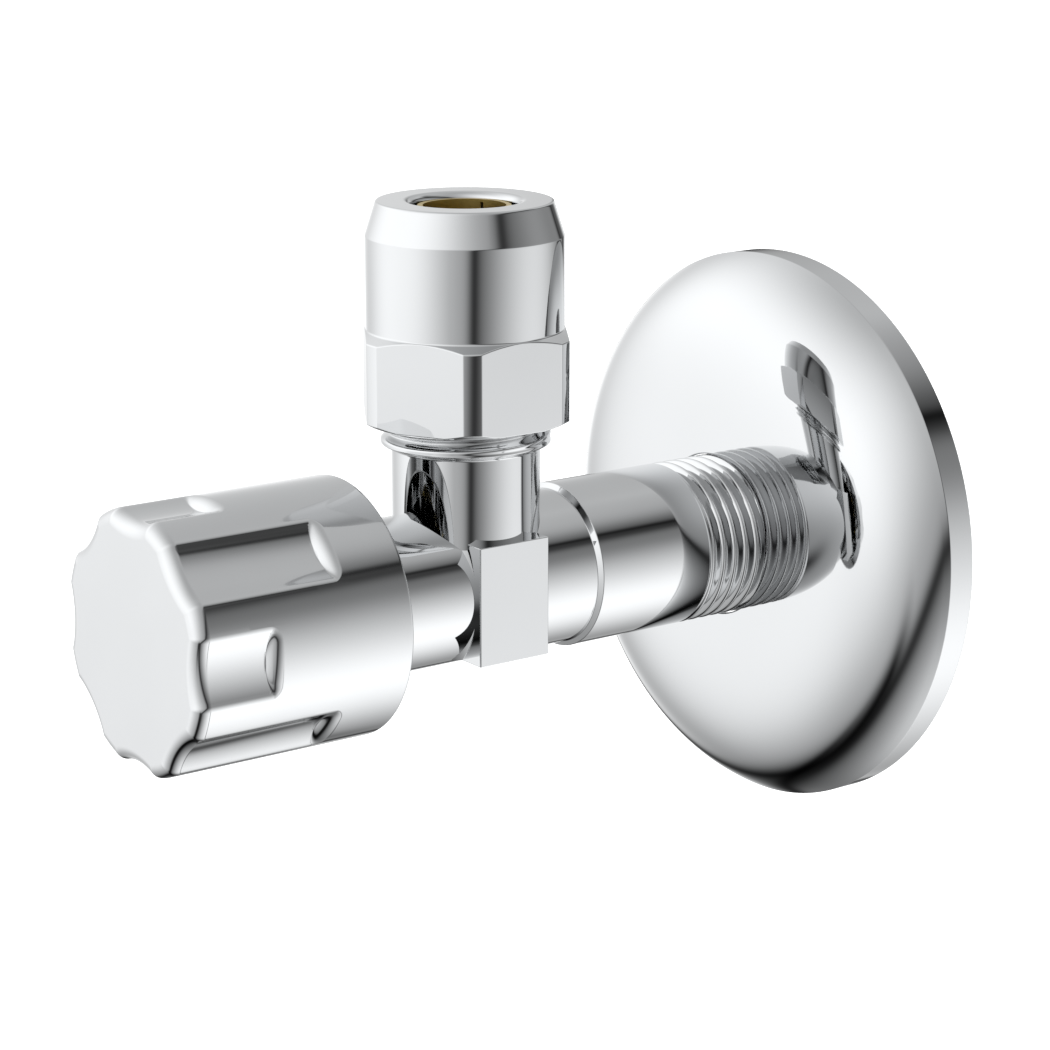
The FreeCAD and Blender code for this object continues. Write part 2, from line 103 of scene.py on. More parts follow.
def rounded(corners, steps=6, columns=1):
    """A closed profile with rounded corners, as an array (rows, columns, 2).

    Each corner is (radius, height, rounding), and radius and height may hold one value for each column. A
    corner becomes an arc of `steps` pieces that is tangent to both runs, with one support point on either
    side. An arc takes `arc_share` of its shorter run at most.
    """
    spots = np.stack([np.stack([np.full(columns, c[0]), np.full(columns, c[1])], axis=-1) for c in corners])
    run = np.roll(spots, -1, axis=0) - spots
    length = np.linalg.norm(run, axis=-1, keepdims=True)
    line = []
    for i, corner in enumerate(corners):
        here = spots[i]
        if corner[2] <= 0:
            line.append(here[None])
            continue
        back, ahead = -run[i - 1] / length[i - 1], run[i] / length[i]
        half = np.arccos(np.clip((back * ahead).sum(-1, keepdims=True), -1, 1)) / 2
        shorter = np.minimum(length[i - 1], length[i])
        reach = np.minimum(corner[2] / np.tan(half), arc_share * shorter)
        radius = reach * np.tan(half)
        inwards, along = unit(back + ahead), unit(ahead - back)
        heart = here + inwards * radius / np.sin(half)
        turn = np.linspace(-1, 1, steps + 1)[:, None, None] * (np.pi / 2 - half)
        support = reach + np.minimum(radius / 2, support_share * shorter)
        line.append((here + back * support)[None])
        line.append(heart + radius * (np.sin(turn) * along - np.cos(turn) * inwards))
        line.append((here + ahead * support)[None])
    return np.concatenate(line)


def column_angles(count):
    """Equal steps round a full turn, without the last one, which is the first again."""
    return np.linspace(0, 2 * np.pi, count, endpoint=False)


def turned_points(profile, angle):
    """Points of a surface about Z: the profile (rows, 1 or columns, 2) holds radius and height."""
    radius, height, angle = np.broadcast_arrays(profile[..., 0], profile[..., 1], angle[None])
    return np.stack([radius * np.cos(angle), radius * np.sin(angle), height], axis=-1)


def folded(angle, spacing):
    """The angle from the nearest multiple of the spacing."""
    return np.abs((angle + spacing / 2) % spacing - spacing / 2)


def arc_reach(out, radius, away, side=1):
    """Distance from the axis to an arc: h cos a + side * sqrt(r * r - (h sin a) ** 2).

    Its centre lies h out and a is the angle from there. The side is 1 for a round and -1 for a hollow.
    """
    return out * np.cos(away) + side * np.sqrt(np.maximum(radius ** 2 - (out * np.sin(away)) ** 2, 0))


def about_outlet(points):
    """Move a shape made about Z onto the outlet's axis."""
    return points + [0, axis_y, 0]


def about_inlet(points):
    """Lay a shape made about Z along the inlet: its height becomes y, counted from the outlet's axis."""
    x, y, z = points[..., 0], points[..., 1], points[..., 2]
    return np.stack([x, z + axis_y, -y], axis=-1)


def turn_about_z(points, angle):
    """Turn points about Z: x becomes x cos - y sin, and y becomes x sin + y cos."""
    c, s = math.cos(angle), math.sin(angle)
    return points @ np.array([[c, s, 0], [-s, c, 0], [0, 0, 1]])


print("profile helpers ready")

# %% [markdown]
# ### From points to a mirror
# Blender's own shading leans towards the larger face beside an edge, and chrome shows that as a bend in the
# mirrored lines. So the normals are worked out from the grid, and stay right however uneven its rows are.


# %% Helpers for meshes
tiny_step = 1e-9


def grid_tangent(points, axis, closed):
    """Tangent of the parabola through each point and its two neighbours, so uneven steps don't tilt it.

    It is the step ahead times back over ahead plus the step back times ahead over back, in lengths.
    """
    ahead = np.roll(points, -1, axis) - points
    back = points - np.roll(points, 1, axis)
    if not closed:
        ahead[-1], back[0] = back[-1], ahead[0]
    far, near = (np.maximum(np.linalg.norm(way, axis=-1, keepdims=True), tiny_step) for way in (ahead, back))
    return ahead * near / far + back * far / near


def grid_mesh(points, ring=True):
    """A mesh from a (rows, columns, 3) grid in millimetres that closes round its columns.

    With `ring` the rows close too, as on a washer. Without it the first and the last row are poles: each
    shrinks to its middle point. The normals are the cross product of the grid's two tangents, and the rows
    are turned round when the volume, a sixth of the sum of a . (b x c) over all triangles, is negative.
    """
    rows, columns = points.shape[:2]
    index = np.arange(rows * columns).reshape(rows, columns)
    right = np.roll(index, -1, axis=1)
    below, below_right = np.roll(index, -1, axis=0), np.roll(right, -1, axis=0)
    quads = np.stack([index, right, below_right, below], axis=-1)[:rows if ring else -1].reshape(-1, 4)
    a, b, c, d = points.reshape(-1, 3)[quads.T]
    if np.einsum("ij,ij->", a, np.cross(b, c) + np.cross(c, d)) < 0:
        points = points[::-1]
    normals = unit(np.cross(grid_tangent(points, 1, True), grid_tangent(points, 0, ring)))
    spots, faces = points.reshape(-1, 3), quads.tolist()
    normals = normals.reshape(-1, 3)
    if not ring:
        start = np.stack([right[0], index[0], np.full(columns, rows * columns)], axis=-1)
        end = np.stack([index[-1], right[-1], np.full(columns, rows * columns + 1)], axis=-1)
        faces += start.tolist() + end.tolist()
        spots = np.concatenate([spots, points[:1].mean(1), points[-1:].mean(1)])
        poles = normals[:columns].mean(0), normals[-columns:].mean(0)
        normals = np.concatenate([normals, *(pole[None] for pole in poles)])
    mesh = bpy.data.meshes.new("grid")
    mesh.from_pydata((spots * mm).tolist(), [], faces)
    mesh.shade_smooth()
    mesh.normals_split_custom_set_from_vertices(unit(normals).tolist())
    return mesh


def piece(name, data):
    """Put a mesh, a camera or a lamp into the scene as an object at the origin."""
    thing = bpy.data.objects.new(name, data)
    bpy.context.scene.collection.objects.link(thing)
    return thing


def volume_of(mesh):
    """Volume in cubic millimetres: a sixth of the sum of a . (b x c) over the triangles."""
    corner = np.empty(len(mesh.vertices) * 3)
    mesh.vertices.foreach_get("co", corner)
    corner = corner.reshape(-1, 3)
    mesh.calc_loop_triangles()
    triangle = np.empty(len(mesh.loop_triangles) * 3, int)
    mesh.loop_triangles.foreach_get("vertices", triangle)
    a, b, c = corner[triangle.reshape(-1, 3)].transpose(1, 0, 2)
    return np.einsum("ij,ij->", a, np.cross(b, c)) / 6 / mm ** 3


print("mesh helpers ready")

# %% [markdown]
# ## The camera
# The picture was taken from in front, a little above, with a long lens. Circles on the part gave its place:
# 53.8 degrees round from the knob's axis and 14.4 degrees up. It looks straight along its own axis, with no
# shift, and the picture is square.

# %% Set the camera
camera_place = (0.30583, -0.26628, 0.10277)
camera_azimuth = math.radians(53.814)
camera_elevation = math.radians(14.359)
focal_length = 106.93
camera = piece("camera", bpy.data.cameras.new("camera"))
camera.data.lens = focal_length
camera.data.sensor_width = 36.0
camera.data.clip_start = 0.01
camera.data.clip_end = 50.0
camera.location = camera_place
camera.rotation_euler = (math.pi / 2 - camera_elevation, 0, camera_azimuth)
bpy.context.scene.camera = camera
bpy.context.scene.view_settings.view_transform = "Standard"
print("camera", camera_place, "lens", focal_length)

# %% [markdown]
# ## The studio
# A chrome part is photographed in a white tent with soft panels and a few dark gaps between them. The gaps
# draw the crisp dark lines that tell the eye where a cylinder turns. Here the tent is the world: each panel
# is a soft lobe of light round one direction, and each gap is a dark strip along a circle of directions.
# Both are small node groups with named inputs, so a panel or a gap is one line of values.


# %% Node helpers
def node(tree, kind, values=None, **settings):
    """A new node with its settings. Each value goes to an input: a socket is linked, the rest is set."""
    made = tree.nodes.new(kind)
    for key, value in settings.items():
        setattr(made, key, value)
    for key, value in (values or {}).items():
        if isinstance(value, bpy.types.NodeSocket):
            tree.links.new(value, made.inputs[key])
        else:
            made.inputs[key].default_value = value
    return made


def math_node(tree, operation, first, second=0.0):
    """The result of a Math node. Each operand is a number or a socket."""
    return node(tree, "ShaderNodeMath", {0: first, 1: second}, operation=operation).outputs[0]


def dot(tree, first, second):
    """The dot product of two vector sockets."""
    made = node(tree, "ShaderNodeVectorMath", {0: first, 1: second}, operation="DOT_PRODUCT")
    return made.outputs["Value"]


def group_tree(name, inputs, outputs):
    """A shader node group with its sockets, and the outputs of its input node."""
    tree = bpy.data.node_groups.new(name, "ShaderNodeTree")
    for label, kind in inputs:
        tree.interface.new_socket(label, in_out="INPUT", socket_type=kind)
    for label, kind in outputs:
        tree.interface.new_socket(label, in_out="OUTPUT", socket_type=kind)
    return tree, tree.nodes.new("NodeGroupInput").outputs


FLOAT, VECTOR, COLOUR = "NodeSocketFloat", "NodeSocketVector", "NodeSocketColor"
print("node helpers ready")

# %% Groups for a panel and a gap
gap_edge_half = 0.15


def soft_panel_group():
    """Brightness of a panel: strength * e to the power of sharpness * (cosine to its middle - 1)."""
    tree, given = group_tree(
        "soft panel",
        [("Direction", VECTOR), ("Middle", VECTOR), ("Sharpness", FLOAT), ("Strength", FLOAT)],
        [("Light", FLOAT)])
    away = math_node(tree, "SUBTRACT", dot(tree, given["Direction"], given["Middle"]), 1.0)
    fall = math_node(tree, "EXPONENT", math_node(tree, "MULTIPLY", away, given["Sharpness"]))
    node(tree, "NodeGroupOutput", {"Light": math_node(tree, "MULTIPLY", fall, given["Strength"])})
    return tree


def dark_gap_group():
    """What a gap lets through: 1 less depth times a bell curve across a circle of directions.

    The circle holds the directions whose cosine to the pole is the offset. A second direction, with an
    edge that fades over `gap_edge_half` to either side, keeps the gap to one side of the studio.
    """
    tree, given = group_tree(
        "dark gap",
        [("Direction", VECTOR), ("Pole", VECTOR), ("Offset", FLOAT), ("Width", FLOAT), ("Depth", FLOAT),
         ("Side", VECTOR), ("Edge", FLOAT)],
        [("Passing", FLOAT)])
    across = math_node(tree, "SUBTRACT", dot(tree, given["Direction"], given["Pole"]), given["Offset"])
    across = math_node(tree, "DIVIDE", across, given["Width"])
    square = math_node(tree, "MULTIPLY", across, across)
    bell = math_node(tree, "EXPONENT", math_node(tree, "MULTIPLY", square, -1.0))
    inside = math_node(tree, "SUBTRACT", dot(tree, given["Direction"], given["Side"]), given["Edge"])
    window = node(tree, "ShaderNodeMapRange",
                  {"Value": inside, "From Min": -gap_edge_half, "From Max": gap_edge_half},
                  interpolation_type="SMOOTHSTEP")
    shade = math_node(tree, "MULTIPLY", bell, window.outputs["Result"])
    loss = math_node(tree, "MULTIPLY", shade, given["Depth"])
    node(tree, "NodeGroupOutput", {"Passing": math_node(tree, "SUBTRACT", 1.0, loss)})
    return tree


def towards(azimuth, elevation):
    """A direction from degrees: azimuth 0 is +X and 90 is +Y, elevation counts up from the floor."""
    a, e = math.radians(azimuth), math.radians(elevation)
    return (math.cos(e) * math.cos(a), math.cos(e) * math.sin(a), math.sin(e))


print("studio groups ready")

# %% [markdown]
# ### Panels and gaps
# The first five panels are wide and the last two narrow. Azimuth -90 is the side of the knob, 0 the side of
# the flat pad, and 90 the side of the wall. The light from low on the wall's side is the brightest, because
# it lights the undersides. The first gap runs across the studio like a tilted horizon, the second is its
# dark core, and the thin line in it draws the dark edge down the nut's barrel.

# %% Values of the studio
# label, (azimuth, elevation) of the middle, sharpness, strength
PANELS = [
    ("front left", (-161, 23), 3.3, 0.83),
    ("high front", (-59, 38), 3.6, 0.48),
    ("front", (-98, 1), 3.5, 0.69),
    ("low right", (42, -47), 3.3, 0.97),
    ("high back", (76, 29), 2.5, 0.48),
    ("back left", (140, -22), 11.2, 0.91),
    ("low left", (-140, -27), 9.4, 0.31),
]
# label, pole, offset, width, depth, side, edge
GAPS = [
    ("tilted horizon", (40.8, -42.6), 0.424, 0.246, 0.611, (64.4, -36.6), 0.027),
    ("horizon core", (49, -38.9), 0.324, 0.086, 0.771, (62.5, -40.4), 0.03),
    ("horizon line", (37.4, -40), 0.244, 0.04, 0.773, (66.7, -37.2), 0.103),
    ("front foot", (-130.1, 24.8), -0.029, 0.107, 0.94, (-143, -7), 0.09),
    ("under the right", (81, -4.9), 0.472, 0.027, 0.745, (-14, -81), 0.55),
    ("over the right", (54.1, 67), 0.877, 0.088, 0.964, (65, 24), 0.903),
]
studio_gain = 1.68
studio_tint = (0.992, 1.0, 1.005, 1.0)
print("studio of", len(PANELS), "panels and", len(GAPS), "gaps")

# %% Build the world
world = bpy.data.worlds.new("studio")
bpy.context.scene.world = world
world.use_nodes = True
sky = world.node_tree
sky.nodes.clear()
direction = node(sky, "ShaderNodeTexCoord").outputs["Generated"]
panel_tree, gap_tree = soft_panel_group(), dark_gap_group()
light = None
for label, middle, sharpness, strength in PANELS:
    values = {"Direction": direction, "Middle": towards(*middle), "Sharpness": sharpness,
              "Strength": strength}
    panel = node(sky, "ShaderNodeGroup", values, node_tree=panel_tree, label=label)
    light = panel.outputs[0] if light is None else math_node(sky, "ADD", light, panel.outputs[0])
for label, pole, offset, width, depth, side, edge in GAPS:
    values = {"Direction": direction, "Pole": towards(*pole), "Offset": offset, "Width": width,
              "Depth": depth, "Side": towards(*side), "Edge": edge}
    gap = node(sky, "ShaderNodeGroup", values, node_tree=gap_tree, label=label)
    light = math_node(sky, "MULTIPLY", light, gap.outputs[0])
brightness = math_node(sky, "MULTIPLY", light, studio_gain)
background = node(sky, "ShaderNodeBackground", {"Color": studio_tint, "Strength": brightness})
node(sky, "ShaderNodeOutputWorld", {"Surface": background.outputs[0]})
print("world with", len(sky.nodes), "nodes")

# %% [markdown]
# ### Floor and lamp
# The floor is a very wide pale bowl: flat under the part, with a wall that rises all round, so no view
# meets a horizon. It lies half a metre down, where a floor is under such a valve. It glows a little, as a
# lit white paper sweep does, and still takes the soft shadow of the part. Its place among the mirrored
# directions is taken by the studio, so rays that leave the metal pass it.

# %% Make the floor
floor_drop = 550.0
floor_flat_r = 7000.0
floor_bend_r = 2500.0
floor_wall_top = 9000.0
floor_middle_share = 0.02
floor_columns = 96
flat_rings, bend_rings = 12, 24


def sweep_profile():
    """Radius and height of the bowl: a flat disc, a quarter circle and a straight wall."""
    flat_r = np.linspace(floor_middle_share, 1, flat_rings) * floor_flat_r
    flat = np.stack([flat_r, np.zeros(flat_rings)], axis=1)
    turn = np.linspace(0, np.pi / 2, bend_rings)[1:]
    bend = np.stack([floor_flat_r + floor_bend_r * np.sin(turn), floor_bend_r * (1 - np.cos(turn))], axis=1)
    wall = np.array([[floor_flat_r + floor_bend_r, floor_wall_top]])
    return np.concatenate([flat, bend, wall]) - [0, floor_drop]


sweep_grid = turned_points(sweep_profile()[:, None], column_angles(floor_columns))
floor_mesh = bpy.data.meshes.new("floor")
rows, columns = sweep_grid.shape[:2]
index = np.arange(rows * columns).reshape(rows, columns)
right = np.roll(index, -1, axis=1)
quads = np.stack([index[:-1], index[1:], right[1:], right[:-1]], axis=-1).reshape(-1, 4)
floor_mesh.from_pydata((sweep_grid.reshape(-1, 3) * mm).tolist(), [], quads.tolist() + [index[0].tolist()])
floor_mesh.shade_smooth()
floor = piece("floor", floor_mesh)
floor.visible_glossy = False
floor.visible_diffuse = False
floor.visible_shadow = False
print("floor at", -floor_drop, "mm")

# %% Paint the floor and hang the lamp
paper_tone = (0.9, 0.9, 0.9, 1.0)
paper_glow = 0.72
paper = bpy.data.materials.new("white sweep")
paper.use_nodes = True
tree = paper.node_tree
tree.nodes.clear()
matte = node(tree, "ShaderNodeBsdfDiffuse", {"Color": paper_tone})
glow = node(tree, "ShaderNodeEmission", {"Color": (1.0, 1.0, 1.0, 1.0), "Strength": paper_glow})
both = node(tree, "ShaderNodeAddShader", {0: matte.outputs[0], 1: glow.outputs[0]})
node(tree, "ShaderNodeOutputMaterial", {"Surface": both.outputs[0]})
floor_mesh.materials.append(paper)

lamp = piece("soft lamp", bpy.data.lights.new("soft lamp", "AREA"))
lamp.data.shape = "DISK"
lamp.data.size = 0.8
lamp.data.energy = 6.0
lamp.location = (-0.3, -0.9, 1.1)
lamp.rotation_euler = (math.radians(42), 0, math.radians(-18))
lamp.visible_glossy = False
print("lamp of", lamp.data.energy, "watts")

# %% [markdown]
# ## Finishes
# Chrome plating copies the surface under it. On polished brass that is a nearly perfect mirror, with the
# faintest waviness from the polishing wheel, and on moulded plastic it is a little softer. One node group
# makes that waviness and the haze for every plated piece. Brass, rubber, plastic and spring steel use their
# own values of a second group with tool marks and mottling.


# %% Node groups for finishes
haze_fineness = 3.0


def noise(tree, scale, values):
    """Noise on object coordinates at a scale that a socket gives. Returns its value."""
    place = node(tree, "ShaderNodeTexCoord").outputs["Object"]
    return node(tree, "ShaderNodeTexNoise", {"Vector": place, "Scale": scale, **values}).outputs["Fac"]


def haze_between(tree, value, low, high, given):
    """Map a value between two bounds onto the group's least and most haze."""
    values = {"Value": value, "From Min": low, "From Max": high,
              "To Min": given["Haze low"], "To Max": given["Haze high"]}
    return node(tree, "ShaderNodeMapRange", values).outputs["Result"]


def plating_group():
    """Slow waves for the bump and a fine mottling of the haze, both from noise on object coordinates."""
    tree, given = group_tree(
        "plating",
        [("Wave size mm", FLOAT), ("Haze low", FLOAT), ("Haze high", FLOAT), ("Tone", COLOUR)],
        [("Colour", COLOUR), ("Roughness", FLOAT), ("Height", FLOAT)])
    per_metre = math_node(tree, "DIVIDE", 1.0 / mm, given["Wave size mm"])
    wave = noise(tree, per_metre, {"Detail": 1.0, "Roughness": 0.4})
    haze = noise(tree, math_node(tree, "MULTIPLY", per_metre, haze_fineness), {"Detail": 3.0})
    shade = node(tree, "ShaderNodeMapRange",
                 {"Value": wave, "From Min": 0.3, "From Max": 0.7, "To Min": 0.985, "To Max": 1.0})
    tone = node(tree, "ShaderNodeVectorMath", {0: given["Tone"], "Scale": shade.outputs["Result"]},
                operation="SCALE")
    node(tree, "NodeGroupOutput", {"Colour": tone.outputs[0], "Height": wave,
                                   "Roughness": haze_between(tree, haze, 0.35, 0.65, given)})
    return tree


def worked_group():
    """Fine grain and mottling for bare pieces: colour between two tones, roughness and a grain height."""
    tree, given = group_tree(
        "worked surface",
        [("Grain size mm", FLOAT), ("Dark tone", COLOUR), ("Light tone", COLOUR),
         ("Haze low", FLOAT), ("Haze high", FLOAT)],
        [("Colour", COLOUR), ("Roughness", FLOAT), ("Height", FLOAT)])
    per_metre = math_node(tree, "DIVIDE", 1.0 / mm, given["Grain size mm"])
    grain = noise(tree, per_metre, {"Detail": 4.0, "Roughness": 0.6})
    mix = node(tree, "ShaderNodeMix", {"Factor": grain, 6: given["Dark tone"], 7: given["Light tone"]},
               data_type="RGBA")
    node(tree, "NodeGroupOutput", {"Colour": mix.outputs[2], "Height": grain,
                                   "Roughness": haze_between(tree, grain, 0.3, 0.7, given)})
    return tree


plating_tree, worked_tree = plating_group(), worked_group()


def finish(name, tree_group, values, metallic, bump_mm):
    """A Principled material fed by one of the two groups."""
    made = bpy.data.materials.new(name)
    made.use_nodes = True
    tree = made.node_tree
    shader = tree.nodes["Principled BSDF"]
    shader.inputs["Metallic"].default_value = metallic
    group = node(tree, "ShaderNodeGroup", values, node_tree=tree_group)
    bump = node(tree, "ShaderNodeBump",
                {"Strength": 1.0, "Distance": bump_mm * mm, "Height": group.outputs["Height"]})
    tree.links.new(group.outputs["Colour"], shader.inputs["Base Color"])
    tree.links.new(group.outputs["Roughness"], shader.inputs["Roughness"])
    tree.links.new(bump.outputs["Normal"], shader.inputs["Normal"])
    return made


print("finish groups ready")

# %% [markdown]
# ### One material for each finish
# Chromium throws back about 0.6 of the light, so where chrome mirrors chrome it turns darker, as on the
# real valve. Sizes and the heights of the bumps are in millimetres.

# %% Make the materials
chrome_tone = (0.6, 0.606, 0.612, 1.0)
# wave size, least and most haze, height of the bump
PLATED = {
    "chromed_brass": (9.0, 0.02, 0.035, 0.002),
    "chromed_sheet": (14.0, 0.025, 0.04, 0.003),
    "chromed_plastic": (8.0, 0.05, 0.07, 0.003),
}
# grain size, dark and light tone, least and most haze, metallic, height of the bump
WORKED = {
    "bare_brass": (1.2, (0.5, 0.38, 0.12), (0.56, 0.43, 0.15), 0.3, 0.38, 1.0, 0.001),
    "black_rubber": (0.3, (0.012, 0.012, 0.012), (0.03, 0.03, 0.03), 0.5, 0.65, 0.0, 0.01),
    "white_plastic": (0.4, (0.76, 0.75, 0.72), (0.84, 0.83, 0.8), 0.35, 0.5, 0.0, 0.005),
    "spring_steel": (0.25, (0.5, 0.5, 0.51), (0.62, 0.62, 0.64), 0.25, 0.4, 1.0, 0.003),
}
MATERIALS = {}
for name, (wave, low, high, bump) in PLATED.items():
    values = {"Wave size mm": wave, "Haze low": low, "Haze high": high, "Tone": chrome_tone}
    MATERIALS[name] = finish(name.replace("_", " "), plating_tree, values, 1.0, bump)
for name, (grain, dark, pale, low, high, metallic, bump) in WORKED.items():
    values = {"Grain size mm": grain, "Dark tone": (*dark, 1.0), "Light tone": (*pale, 1.0),
              "Haze low": low, "Haze high": high}
    MATERIALS[name] = finish(name.replace("_", " "), worked_tree, values, metallic, bump)
print("materials", ", ".join(MATERIALS))

# %% [markdown]
# ## Dressing the frame's own pieces
# The record says which finish each piece has. Every piece of the frame gets that material, also the ones
# that are hidden inside, and the four whose place finer meshes take below. Such a mesh gets the finish of
# the piece that it stands for, and moves with the same body.

# %% Assign the finishes
slot_of = {part["node"]: part["material_slot"] for part in frame["record"]["subparts"]}
for name, thing in nodes.items():
    thing.data.materials.clear()
    thing.data.materials.append(MATERIALS[slot_of[name]])
print("dressed", len(slot_of), "pieces")

# %% Helper for the pieces that stand in
body_of = {name: body for body, names in frame["record"]["behaviour"]["bodies"].items() for name in names}


def stand_in(name, mesh, stood_for):
    """Show a mesh in place of a frame piece, with its finish and on its body."""
    thing = piece(name, mesh)
    mesh.name = name
    mesh.materials.clear()
    mesh.materials.append(MATERIALS[slot_of[stood_for]])
    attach(thing, body_of[stood_for])
    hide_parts(stood_for)
    print(name, len(mesh.polygons), "faces,", round(volume_of(mesh)), "cubic mm")


# %% [markdown]
# ## The wall rosette
# The rosette is pressed from thin sheet: a shallow dome, a crisp edge and a straight rim. The dome is what
# shows the studio best, so its shape is a formula and not a few arcs. Its slope starts at nothing by the
# hole and grows with the cube of the way across, and the height is the running sum of the slope. The same
# line, moved back by the thickness of the sheet along its normal, is the inside.

# %% Turn the rosette
rosette_gap = 0.1
rosette_rim_slope = 61.0
rosette_slope_power = 3.0
rosette_sheet = 0.8
rosette_edge = 0.25
rosette_back_edge = 0.2
rosette_fillet = 0.3
rosette_join = 0.1
rosette_columns = 256
thread_r = body_high[0]
rosette_hole_r = thread_r + rosette_gap
rosette_face = rose_low[1] - axis_y
wall_at = rose_high[1] - axis_y


def dome_line(inset, rows=60, fine=40):
    """(radius, height) points of the dome, moved back by `inset` along its normal.

    The height is the sum of tan(slope) over `fine` small steps a row, and the slope is the rim's slope times
    the share of the way across to the power `rosette_slope_power`.
    """
    share = np.linspace(0, 1, rows * fine + 1)
    slope = np.radians(rosette_rim_slope) * share ** rosette_slope_power
    radius = rosette_hole_r + share * (rosette_r - rosette_hole_r)
    rise = np.tan(slope) * (radius[1] - radius[0])
    height = rosette_face + np.concatenate([[0], np.cumsum((rise[1:] + rise[:-1]) / 2)])
    return np.stack([radius - inset * np.sin(slope), height + inset * np.cos(slope)], axis=1)[::fine]


def rosette_points():
    """Outer dome, rim and inner dome as one closed profile, turned about the inlet."""
    inner_r = rosette_r - rosette_sheet
    outer, inner = dome_line(0.0), dome_line(rosette_sheet)
    inner = inner[inner[:, 0] < inner_r - rosette_join]
    last = inner[-1] + [0, (inner_r - inner[-1, 0]) * math.tan(math.radians(rosette_rim_slope))]
    corners = [
        (rosette_hole_r, rosette_face, rosette_edge), *((r, h, 0) for r, h in outer[1:-1]),
        (rosette_r, outer[-1, 1], rosette_edge), (rosette_r, wall_at, rosette_back_edge),
        (inner_r, wall_at, rosette_back_edge), (inner_r, last[1], rosette_fillet),
        *((r, h, 0) for r, h in inner[:0:-1]),
        (rosette_hole_r, rosette_face + rosette_sheet, rosette_back_edge)]
    return about_inlet(turned_points(rounded(corners), column_angles(rosette_columns)))


stand_in("rosette_shell", grid_mesh(rosette_points()), "wall_rosette")

# %% [markdown]
# ## The union nut
# The nut is turned from hexagon bar: a plain barrel above, six flats below, and the bar's corners turned
# down with a chamfer above and below. Its outline is a function of the angle: flat, small round, turned
# corner, again and again. Each column of the mesh has its own profile that starts from that outline, so the
# rows follow the curve where the chamfer meets a flat. The spanner has left the nut a little off square.

# %% Outline of the nut
nut_hex_height = 11.25
nut_crown_height = 4.2
nut_crown_step = 1.33
nut_wall = 1.65
nut_slope = math.tan(math.radians(30.0))
nut_foot_step = 1.0
nut_foot_gap = 0.12
nut_edge = 0.3
nut_mouth_r = 6.55
nut_mouth_depth = 4.25
nut_lip = 0.88
nut_chamber_r = 9.0
nut_chamber_depth = 8.75
nut_thread_length = 15.75
nut_bore_gap = 0.05
nut_bore_chamfer = 0.4
nut_off_square = math.radians(-1.35)
nut_flat = nut_high[0]


def nut_rim_arc():
    """Where the round beside a flat begins and ends, as angles from the flat's middle.

    It touches the flat and the corner circle, so its centre is `nut_edge` inside both. The angles are
    atan(along / flat) and atan(along / across).
    """
    across = nut_flat - nut_edge
    along = math.sqrt((nut_corner_r - nut_edge) ** 2 - across ** 2)
    return math.atan2(along, nut_flat), math.atan2(along, across)


def nut_angles():
    """Column angles of six equal sectors: few on a flat and many on the small rounds beside it."""
    start, end = nut_rim_arc()
    support = 0.008
    flat_steps, edge_steps, corner_steps = 6, 6, 4
    half = np.concatenate([np.linspace(0, start - support, flat_steps), np.linspace(start, end, edge_steps),
                           np.linspace(end + support, np.pi / 6, corner_steps)])
    sector = np.concatenate([-half[-2::-1], half[1:]])
    return (sector[None] + np.arange(6)[:, None] * np.pi / 3).ravel()


def nut_rim(angle):
    """Radius of the hexagon: flat / cosine, then the small round, then the turned corner."""
    fold = folded(angle, np.pi / 3)
    start, end = nut_rim_arc()
    bend = arc_reach(nut_corner_r - nut_edge, nut_edge, fold - end)
    return np.where(fold < start, nut_flat / np.cos(fold), np.where(fold < end, bend, nut_corner_r))


print("nut across its flats", round(2 * nut_flat, 2), "and corners", round(2 * nut_corner_r, 2))


# %% Turn the nut
def nut_points():
    """One closed profile for each column, from the crown round the mouth, the bore and the hexagon."""
    angle = nut_angles()
    rim = nut_rim(angle)
    top, low = nut_high[2], nut_low[2]
    hex_top = low + nut_hex_height
    barrel_r = thread_r + nut_wall
    foot_r = np.minimum(nut_corner_r - nut_foot_step, rim - nut_foot_gap)
    bore_r = thread_r + nut_bore_gap
    bore_top = low + nut_thread_length
    corners = [
        (barrel_r, top - nut_crown_height, 0.25), (barrel_r - nut_crown_step, top, 0.3),
        (nut_mouth_r, top, nut_lip), (nut_mouth_r, top - nut_mouth_depth, 0.2),
        (nut_chamber_r, top - nut_chamber_depth, 0.2), (nut_chamber_r, bore_top, 0.1),
        (bore_r, bore_top, 0.1), (bore_r, low + nut_bore_chamfer, 0.05),
        (bore_r + nut_bore_chamfer, low, 0.05), (foot_r, low, 0.06),
        (rim, low + (rim - foot_r) * nut_slope, 0.12),
        (rim, hex_top - (rim - barrel_r) * nut_slope, 0.22), (barrel_r, hex_top, 0.3)]
    profile = rounded(corners, columns=len(angle))
    return about_outlet(turned_points(profile, angle + nut_off_square))


stand_in("nut_shell", grid_mesh(nut_points()), "union_nut")

# %% [markdown]
# ## The knob
# The knob is a chromed cap with eight flutes: four end early, four run further back. Seen along its axis
# the outline is a circle with shallow arcs cut in, and small rounds lead into them. Behind a flute the full
# circle comes up again with the rounding of the front edge. So the surface is one function of the angle and
# the depth: the higher of the fluted outline and the shoulder behind it, with a soft maximum that leaves a
# small fillet at the shoulder's foot.

# %% Outline of the knob
knob_edge = 1.8
flute_count = 8
flute_spacing = 2 * math.pi / flute_count
flute_depth = 1.3
flute_r = 11.0
flute_blend = 1.2
flute_end_r = 1.8
short_flute = 9.35
long_flute = 18.9
knob_wall = 2.9
knob_floor_wall = 2.5
knob_off_square = math.radians(0.9)
knob_front = knob_low[1] - axis_y
knob_back = knob_high[1] - axis_y


